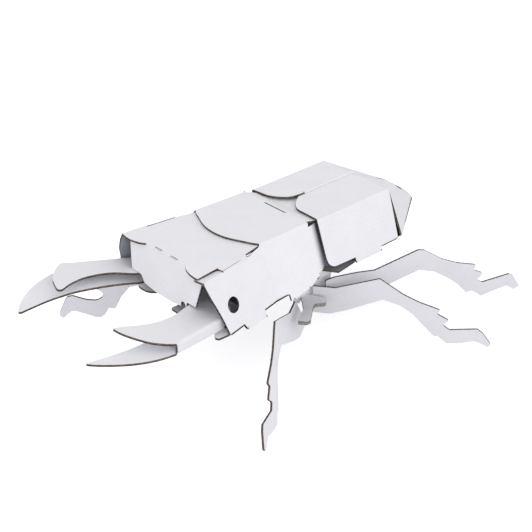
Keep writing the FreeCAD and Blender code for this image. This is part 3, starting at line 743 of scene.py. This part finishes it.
# per side: upper leaf's outer and inner edges, lower tip's outer and inner edges,
# and the lower leaf's inner edge behind the tip
MANDIBLES = {
    1: ([FOLD_END, (85.0, -204.2), (79.6, -212.0), (73.8, -217.8), (63.0, -224.7),
         (52.2, -229.6), (43.6, -231.3), (42.3, -230.9)],
        [(42.3, -230.9), (44.3, -221.0), (47.9, -209.6), (50.3, -196.0), (50.4, -185.9),
         (49.0, -174.0), (45.3, -161.1), (40.8, -150.0), (38.2, -141.0)],
        [FOLD_END, (87.6, -207.0), (85.2, -219.0), (81.0, -231.0), (74.6, -243.5),
         (66.1, -256.1), (59.4, -264.2), (54.8, -268.6), (53.6, -268.2)],
        [(53.6, -268.2), (55.6, -257.0), (57.8, -241.0), (59.2, -224.0), (58.6, -209.0),
         (55.6, -197.3)],
        [(55.6, -197.3), (52.0, -180.0), (47.5, -160.5), (42.3, -145.0), (38.5, -135.0),
         (38.2, -130.0)]),
    -1: ([FOLD_END, (85.0, -203.5), (76.1, -213.8), (64.0, -223.4), (57.6, -226.7),
          (46.1, -230.9), (42.8, -230.4)],
         [(42.8, -230.4), (42.4, -227.0), (47.1, -217.8), (51.7, -204.1), (53.4, -192.0),
          (52.5, -177.5), (49.5, -165.6), (43.8, -155.6), (38.6, -147.0), (38.2, -141.0)],
         [FOLD_END, (89.0, -207.9), (84.4, -225.8), (75.8, -243.1), (63.9, -258.4),
          (57.0, -264.9), (51.5, -268.7), (49.5, -267.2)],
         [(49.5, -267.2), (50.7, -252.8), (51.7, -239.1), (51.4, -226.1), (50.0, -211.1),
          (46.7, -197.3)],
         [(46.7, -197.3), (45.6, -181.3), (43.7, -165.8), (40.6, -151.2), (38.4, -143.0),
          (38.2, -130.0)]),
}
PIVOT_X, PIVOT_Y = 54.0, -119.0
# the right mandible is turned about an axis along y, then shifted
TILT, TILT_Z = 0.10, -47.0
SHIFT_OUT, SHIFT_UP = 0.9, 2.6


def upper_z(x, y):
    return -59.5 - 0.065 * x - 0.178 * y


def root_z(x, y):
    return -51.08 - 0.0483 * x


def lower_z(x, y):
    return root_z(x, y) - 0.2058 * (y - FOLD_START[1])


def tip_z(x, y):
    return lower_z(x, FOLD_END[1]) - 0.0494 * (y - FOLD_END[1])


def mandible(name, side):
    def seat(points, height):
        seated = []
        for x, y in points:
            z = height(x, y)
            if side < 0:
                dx, dz = x - PIVOT_X, z - TILT_Z
                x = -(PIVOT_X + SHIFT_OUT + dx * math.cos(TILT) - dz * math.sin(TILT))
                z = TILT_Z + SHIFT_UP + dx * math.sin(TILT) + dz * math.cos(TILT)
            seated.append(at(x, y, z))
        return seated

    def bore(height):
        return ring(seat([(PIVOT_X, PIVOT_Y)], height)[0], (0, 0, 1), 1.97 * MM, 24)

    upper_outer, upper_inner, tip_outer, tip_inner, lower_inner = [
        smooth(edge, 4) for edge in MANDIBLES[side]]
    upper = ROOT[:-1] + OUTER_FOLD + upper_outer[1:] + upper_inner[1:]
    panels = [(seat(upper, upper_z), (0, 0, -1), [bore(upper_z)])]
    for pair in zip(OUTER_FOLD[:-1], OUTER_FOLD[1:]):
        panels.append((seat(pair, upper_z) + seat(pair[::-1], lower_z), (-side, 0.3, 0)))
    panels += [(seat(OUTER_FOLD + lower_inner, lower_z), (0, 0, 1)),
               (seat(tip_outer + tip_inner[1:], tip_z), (0, 0, 1)),
               (seat(ROOT, root_z), (0, 0, 1), [bore(root_z)])]
    sheet("mandible_" + name, panels, (0.25 * side, 1, 0), fold=1.9, segments=6,
          min_fold=30.0)


# ---------------------------------------------------------------- wing cases and tail
WING_Z, TOP_END_Y = -2.0, 116.6


def wing_wall(y, z):
    return (47.4 + 0.0055 * (y - 12.5) - 0.30 * (z - WING_Z), y, z)


WING_FRONT = (47.4, 12.5, WING_Z)
TAIL_SIDE, TAIL_RIDGE = (48.0, TOP_END_Y, WING_Z), (0.0, 167.8, -24.9)
# wall's lower edge from the tail forward, then up its front end: (y, z)
WALL_FOOT = [wing_wall(y, z) for y, z in (
    (118.2, -53.1), (115.3, -54.5), (92.4, -54.6), (91.4, -59.2), (54.4, -59.2),
    (53.8, -52.9))]
WALL_FRONT = smooth([wing_wall(y, z) for y, z in (
    (28.3, -52.2), (23.6, -51.6), (19.4, -49.4), (16.6, -45.8), (15.2, -40.6))], 4)
# tail flank from the ridge down to its lower corner
TAIL_EDGE = [(0.0, 190.0, -40.6), (0.0, 209.5, -55.6), (0.2, 212.2, -58.8),
             (2.4, 211.9, -60.0), (6.0, 208.5, -59.9), (62.4, 125.9, -54.6)]
# near-black sheet inside the tail, behind the slit between the wing wall and the tail flank:
# painted shade
TAIL_SHADE_SHEET = [(45.4, 115.4, -4.2), (60.2, 115.8, -56.0), (58.6, 128.6, -56.9),
             (44.8, 118.5, -5.4)]
# per side: x and z of the top's edge at the middle, and its front edge inwards (x, y)
WING_TOPS = {
    1: (-3.3, WING_Z, [(44.4, 14.6), (30.0, 15.3), (16.5, 15.9), (10.0, 19.6),
                       (4.0, 25.4), (0.0, 31.0), (-3.3, 36.0)]),
    -1: (3.6, -0.4, [(36.8, 13.2), (27.0, 13.8), (19.5, 16.4), (12.5, 21.0),
                     (8.0, 25.4), (5.4, 31.0), (4.4, 38.0), (3.6, 45.6)]),
}


def wing_case(name, side):
    middle_x, middle_z, front = WING_TOPS[side]
    middle_end = (middle_x, TOP_END_Y, middle_z)
    rise = middle_z - WING_Z
    edge = [(x, y, WING_Z + rise * (47.5 - x) / (47.5 - middle_x))
            for x, y in smooth(front, 3)]
    foot_tab = WALL_FOOT[3:5] + [(53.5, 57.0, -59.4), (53.5, 89.0, -59.4)]
    panels = [
        (place([WING_FRONT] + edge + [middle_end, TAIL_SIDE], side), (0, 0, -1)),
        (place([WING_FRONT, TAIL_SIDE] + WALL_FOOT + WALL_FRONT, side), (-side, 0, -0.3)),
        (place(foot_tab, side), (0, 0, 1))]
    tail_roof = [middle_end, TAIL_SIDE, TAIL_RIDGE]
    marks = []
    if side > 0:
        # notch in the left tail roof, filled with a strip of painted shade
        tail_roof += [(1.3, 165.2, -23.74), (1.3, 151.0, -17.39), (-0.2, 149.5, -16.72)]
        notch = place([(0.6, 151.3, -17.55), (0.6, 165.4, -23.85)])
        marks.append((notch, (0, 0.447, 1), 1.3))
    else:
        # lip turned down along the middle of the right case
        lip_end = (middle_x, TOP_END_Y, -5.5)
        lip = [(middle_x, 45.6, middle_z), middle_end, lip_end, (middle_x, 45.6, -5.5)]
        panels.append((place(lip, side), (side, 0, 0)))
        panels.append((place([middle_end, TAIL_RIDGE, lip_end], side), (side, 0, 0)))
    panels.append((place(tail_roof, side), (0, -0.3, -1)))
    panels.append((place([TAIL_SIDE, TAIL_RIDGE] + TAIL_EDGE, side), (-side, -0.7, -0.5)))
    # near-black strip of painted shade along the wall's foot
    foot_mark = [wing_wall(92.6, -54.2), wing_wall(115.2, -54.1), wing_wall(117.8, -52.9)]
    marks.append((place(foot_mark, side), (side, 0, 0.3), 0.75))
    node = "wing_case_" + name
    # the sheet inside the tail is near-black on both faces: painted shade seen through the
    # slit
    sheet(node, [(place(TAIL_SHADE_SHEET, side), (-side, -0.5, 0))], (0, 1, 0),
          name="tail_shade_sheet_" + name, inner=DARK_PAINTED_SHADE, outer=DARK_PAINTED_SHADE)
    sheet(node, panels, (0, 1, 0), fold=0.9, segments=5, inner=INNER_PAINTED_SHADE, marks=marks)


# ---------------------------------------------------------------- belly tray and leg hub
def belly_tray():
    floor_z, lip_z = -74.6 - CARD / GRID, -62.4
    bottom = [(-40, -3), (40, -3), (40, 24), (40, 96), (-40, 96), (-40, 24)]
    lip = [(46.4, 20), (62.0, 30.3), (58.4, 57.8), (52.5, 64.0), (51.5, 96), (46.4, 96)]
    panels = [(place(level(bottom, floor_z)), (0, 0, 1))]
    for _, side in SIDES:
        wall = [(40, 24, floor_z), (46.4, 20, lip_z), (46.4, 96, lip_z), (40, 96, floor_z)]
        panels.append((place(wall, side), (-side, 0, 0.4)))
        panels.append((place(level(lip, lip_z), side), (0, 0, 1)))
    sheet("belly_tray", panels, (1, 0, 0), fold=0.5, segments=3, inner=INNER_PAINTED_SHADE)


def leg_hub():
    half_width, front, rear = 35.0, 3.0, 48.0
    top, bottom = -76.9, -97.0
    middle_y = (front + rear) / 2
    corners = [(-half_width, front), (half_width, front), (half_width, rear),
               (-half_width, rear)]
    panels = [(place(level(corners, bottom)), (0, 0, 1))]
    for pair in zip(corners, corners[1:] + corners[:1]):
        wall = level(pair, bottom) + level(pair[::-1], top)
        (x0, y0), (x1, y1) = pair
        panels.append((place(wall), (-(x0 + x1) / 2, middle_y - (y0 + y1) / 2, 0)))
    sheet("leg_hub", panels, (0, 0, 1), fold=0.5, segments=3)
    # small upright tab at the hub's front left corner
    root, tip = (half_width, front - 0.05), (33.9, -4.0)
    tab = level([root, tip], -98.5) + level([tip, root], top)
    sheet("leg_hub", [(place(tab), (-1, 0, 0))], (0, 0, 1), name="leg_crease_tab")


# ---------------------------------------------------------------- flat die-cut pieces
WALL_BOTTOMS = {"head_rear_wall": -65.0, "neck_wall": -57.5}    # grid z


def upright_wall(node):
    """Upright wall; those in WALL_BOTTOMS have their lower points moved to that z."""
    loop, normal = outline_of(node)
    if node in WALL_BOTTOMS:
        bottom, knee = at(0, 0, WALL_BOTTOMS[node]).z, at(0, 0, -50.0).z
        loop = [Vector((p.x, p.y, bottom)) if p.z < knee else p for p in loop]
    # both faces get painted shade: near-black on the head's rear wall for the dark inside of
    # the eye, grey-blue on the other walls
    face = DARK_PAINTED_SHADE if node == "head_rear_wall" else INNER_PAINTED_SHADE
    sheet(node, [(rounded(loop, 0.4 * MM), -normal)], (0, 0, 1), inner=face, outer=face)


def flat_pieces():
    for node in sorted(frame["nodes"]):
        if node.startswith("mandible_pin"):
            rolled_pin(node)
        elif node.startswith("leg_") and node != "leg_hub":
            # every leg but the front left gets the darker liner, as painted shade under the
            # body
            flat(node, (0, 0.05, 1.0), 1.2,
                 outer=WHITE if node == "leg_front_left" else LEG_PAINTED_SHADE)
        elif node.endswith("_wall"):
            upright_wall(node)
        elif node.startswith("lock_plate"):
            flat(node, (0, 1, 0), 1.5, core=CLEAN_CORE, rim=CLEAN_RIM)


# ---------------------------------------------------------------- stage
def studio_floor():
    mesh = bpy.data.meshes.new("studio_floor")
    geo = bmesh.new()
    bmesh.ops.create_grid(geo, x_segments=8, y_segments=8, size=4.0)
    geo.to_mesh(mesh)
    geo.free()
    floor = new_object("studio_floor", mesh)
    floor.location.z = cad_box[0][2] - 0.0003
    shader = Shader("pale_floor")
    cloud = shader.noise(scale=6.0, detail=3.0)
    shader.put("Base Color", shader.mix(cloud, (0.64, 0.64, 0.66, 1), (0.66, 0.66, 0.68, 1)))
    shader.put("Roughness", 0.9)
    shader.put("Specular IOR Level", 0.1)
    # glows only to the camera, so it casts no light on the beetle
    shader.put("Emission Color", (1, 1, 1, 1))
    seen = shader.add("LightPath").outputs["Is Camera Ray"]
    shader.put("Emission Strength", shader.calc("MULTIPLY", seen, 0.64))
    mesh.materials.append(shader.material)


def soft_world():
    world = bpy.data.worlds.new("soft_studio")
    bpy.context.scene.world = world
    world.use_nodes = True
    background = world.node_tree.nodes["Background"]
    background.inputs["Color"].default_value = (0.985, 0.99, 1.0, 1)
    background.inputs["Strength"].default_value = 0.88


def area_light(name, location, target_z, size, watts, colour):
    """Rectangular light aimed at a point on the z axis."""
    data = bpy.data.lights.new(name, "AREA")
    data.shape = "RECTANGLE"
    data.size, data.size_y = size
    data.energy = watts
    data.color = colour
    light = new_object(name, data)
    light.location = location
    light.rotation_mode = "QUATERNION"
    aim = Vector((0, 0, target_z)) - Vector(location)
    light.rotation_quaternion = aim.to_track_quat("-Z", "Y")


def camera():
    data = bpy.data.cameras.new("photo_camera")
    data.sensor_fit = "HORIZONTAL"
    data.sensor_width = 36.0
    data.lens = 74.55
    data.clip_start, data.clip_end = 0.01, 20.0
    view = new_object("photo_camera", data)
    right = Vector((0.6790, 0.7341, 0.0)).normalized()
    up = Vector((-0.3700, 0.3423, 0.8637))
    up = (up - right * up.dot(right)).normalized()
    columns = (right, up, right.cross(up), at(714.4, -672.9, 504.0))
    view.matrix_world = Matrix((*zip(*columns), (0, 0, 0, 1)))
    bpy.context.scene.camera = view


# ---------------------------------------------------------------- build
thorax()
head_cover()
flat("head_floor", (0, 1, 0), 1.1)
for side_name, side_sign in SIDES:
    mandible(side_name, side_sign)
for side_name, side_sign in SIDES:
    wing_case(side_name, side_sign)
belly_tray()
leg_hub()
flat_pieces()

studio_floor()
soft_world()
area_light("key_soft", location=(1.6, -0.55, 0.62), target_z=0.05, size=(1.3, 0.9),
           watts=6.6, colour=(1.0, 0.985, 0.985))
area_light("front_fill", location=(0.1, -1.7, 0.40), target_z=0.05, size=(1.4, 0.7),
           watts=4.2, colour=(1.0, 0.985, 0.99))
area_light("side_fill", location=(1.45, 0.28, 0.28), target_z=0.03, size=(1.2, 0.5),
           watts=1.7, colour=(1.0, 0.985, 0.99))
area_light("top_soft", location=(0.1, 0.2, 1.7), target_z=0.05, size=(1.6, 1.6),
           watts=0.6, colour=(0.97, 0.985, 1.0))
camera()
bpy.context.scene.view_settings.view_transform = "Standard"
